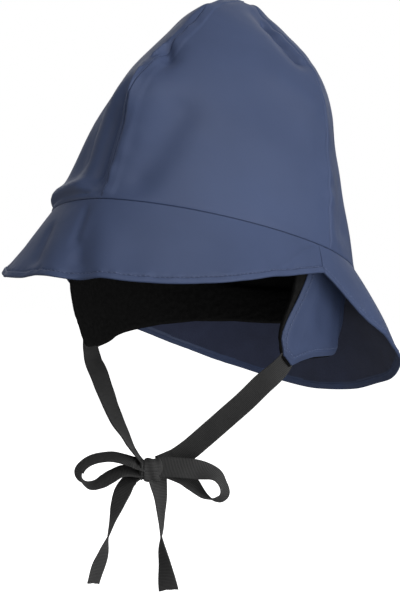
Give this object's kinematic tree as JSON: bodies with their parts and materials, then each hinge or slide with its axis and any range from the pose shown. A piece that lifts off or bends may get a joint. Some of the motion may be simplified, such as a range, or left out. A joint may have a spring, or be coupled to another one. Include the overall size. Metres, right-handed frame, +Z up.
{
  "type": "rain hat",
  "caption": "Soft rain hat with a tall crown of seamed panels, a brim that runs into a long neck flap, fleece-lined ear flaps, and flat tapes tied in a bow under the chin.",
  "frame": {"origin": "middle of the seam between crown and brim, which is the opening that the head goes into", "axes": "+Z up as worn, with the hat tipped back 13.2 degrees, -Y the way the wearer looks, +X the wearer's left"},
  "size_m": [0.1945, 0.2496, 0.325],
  "materials": {
    "coated_cloth": "satin waterproof coating",
    "hemmed_cloth": "satin waterproof coating, hemmed and topstitched",
    "fleece": "matt brushed pile",
    "tape": "matt ribbed woven tape"
  },
  "bodies": {
    "root": {"crown_panel_front_left": "coated_cloth", "crown_panel_front_right": "coated_cloth", "crown_panel_back_left": "coated_cloth", "crown_panel_back_right": "coated_cloth", "brim": "hemmed_cloth", "neck_flap": "hemmed_cloth", "ear_flap_left": "hemmed_cloth", "ear_flap_right": "hemmed_cloth", "fleece_band_front": "fleece", "fleece_band_back": "fleece", "ear_lining_left": "fleece", "ear_lining_right": "fleece", "tie_strap_left": "tape", "tie_strap_right": "tape", "bow_knot": "tape", "bow_loop_left": "tape", "bow_loop_right": "tape", "bow_tail_left": "tape", "bow_tail_right": "tape"}
  },
  "joints": []
}
